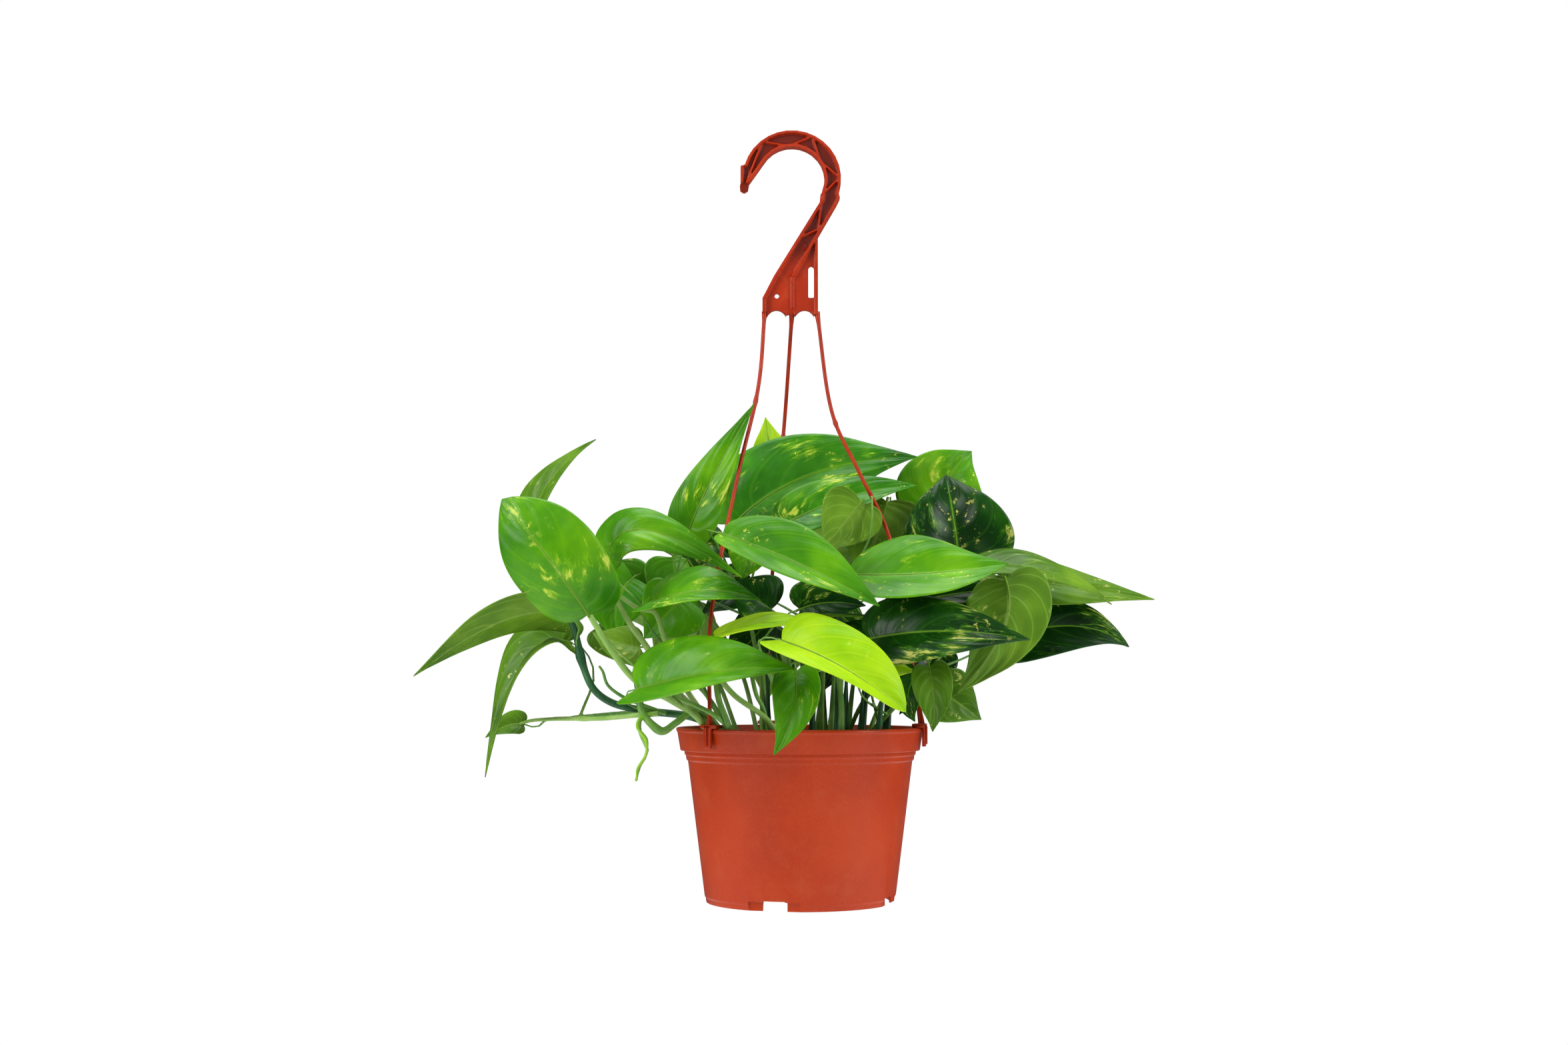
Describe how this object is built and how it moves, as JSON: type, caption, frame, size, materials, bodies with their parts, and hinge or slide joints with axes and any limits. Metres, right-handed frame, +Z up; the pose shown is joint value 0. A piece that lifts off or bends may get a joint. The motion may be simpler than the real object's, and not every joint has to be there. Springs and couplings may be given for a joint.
{
  "type": "potted pothos plant",
  "caption": "Trailing heart-leaved houseplant growing in a round tapering plastic pot of soil, with a moulded hook hanger whose thin strands clip to the rim.",
  "frame": {"origin": "the bearing point inside the top of the hook, where a rail or nail carries the plant", "axes": "+Z up, -Y towards the front, +X to the right as seen from the front"},
  "size_m": [0.443, 0.2551, 0.4803],
  "materials": {
    "pot_plastic": "satin terracotta-coloured plastic with a fine grain",
    "hanger_plastic": "glossy red-brown moulded plastic",
    "soil": "dark crumbly potting soil with bark",
    "stem": "smooth green living stem",
    "leaf_green": "glossy mid-green leaf with pale flecks",
    "leaf_dark": "glossy dark-green leaf with yellow flecks",
    "leaf_lime": "glossy young yellow-green leaf",
    "leaf_olive": "satin olive-green leaf with cream flecks"
  },
  "bodies": {
    "root": {"pot": "pot_plastic", "hanger": "hanger_plastic", "soil": "soil", "vine_1": "stem", "vine_2": "stem", "vine_3": "stem", "vine_4": "stem", "vine_5": "stem", "vine_6": "stem", "vine_7": "stem", "vine_8": "stem", "vine_9": "stem", "vine_10": "stem", "leaf_01": "leaf_olive", "leaf_02": "leaf_green", "leaf_03": "leaf_olive", "leaf_04": "leaf_olive", "leaf_05": "leaf_green", "leaf_06": "leaf_olive", "leaf_07": "leaf_olive", "leaf_08": "leaf_green", "leaf_09": "leaf_green", "leaf_10": "leaf_green", "leaf_11": "leaf_green", "leaf_12": "leaf_green", "leaf_13": "leaf_green", "leaf_14": "leaf_dark", "leaf_15": "leaf_dark", "leaf_16": "leaf_green", "leaf_17": "leaf_lime", "leaf_18": "leaf_dark", "leaf_19": "leaf_green", "leaf_20": "leaf_dark", "leaf_21": "leaf_olive", "leaf_22": "leaf_dark", "leaf_23": "leaf_dark", "leaf_24": "leaf_dark", "leaf_25": "leaf_green", "leaf_26": "leaf_dark", "leaf_27": "leaf_olive", "leaf_28": "leaf_olive", "leaf_29": "leaf_olive", "leaf_30": "leaf_dark", "leaf_31": "leaf_dark", "leaf_32": "leaf_dark", "leaf_33": "leaf_lime", "leaf_34": "leaf_olive", "leaf_35": "leaf_dark", "leaf_36": "leaf_olive", "leaf_37": "leaf_lime", "leaf_38": "leaf_green", "leaf_39": "leaf_lime", "leaf_40": "leaf_dark", "leaf_41": "leaf_olive", "leaf_42": "leaf_green", "leaf_43": "leaf_dark", "leaf_44": "leaf_olive", "leaf_45": "leaf_dark", "leaf_46": "leaf_green", "leaf_47": "leaf_green"}
  },
  "joints": []
}
